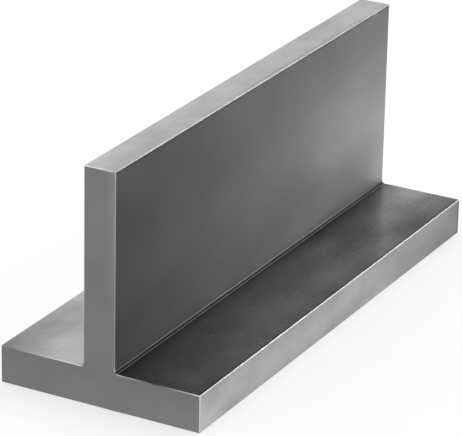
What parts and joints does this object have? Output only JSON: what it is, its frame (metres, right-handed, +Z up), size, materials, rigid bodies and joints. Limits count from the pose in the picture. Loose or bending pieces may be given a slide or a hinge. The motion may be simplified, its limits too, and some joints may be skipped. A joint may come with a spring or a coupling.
{
  "type": "t-profile",
  "caption": "Short sawn piece of sharp-cornered bright steel T bar, lying on its flange with the web upright, with finely broken edges and tight inner corners.",
  "frame": {"origin": "middle of the underside of the flange, halfway along the bar", "axes": "+Y along the bar, +Z up along the web, +X across the flange"},
  "size_m": [0.045, 0.117, 0.05],
  "materials": {
    "bright_steel": "satin bright steel, drawn along its length, with finely sawn ends"
  },
  "bodies": {
    "root": {"t_profile": "bright_steel"}
  },
  "joints": []
}
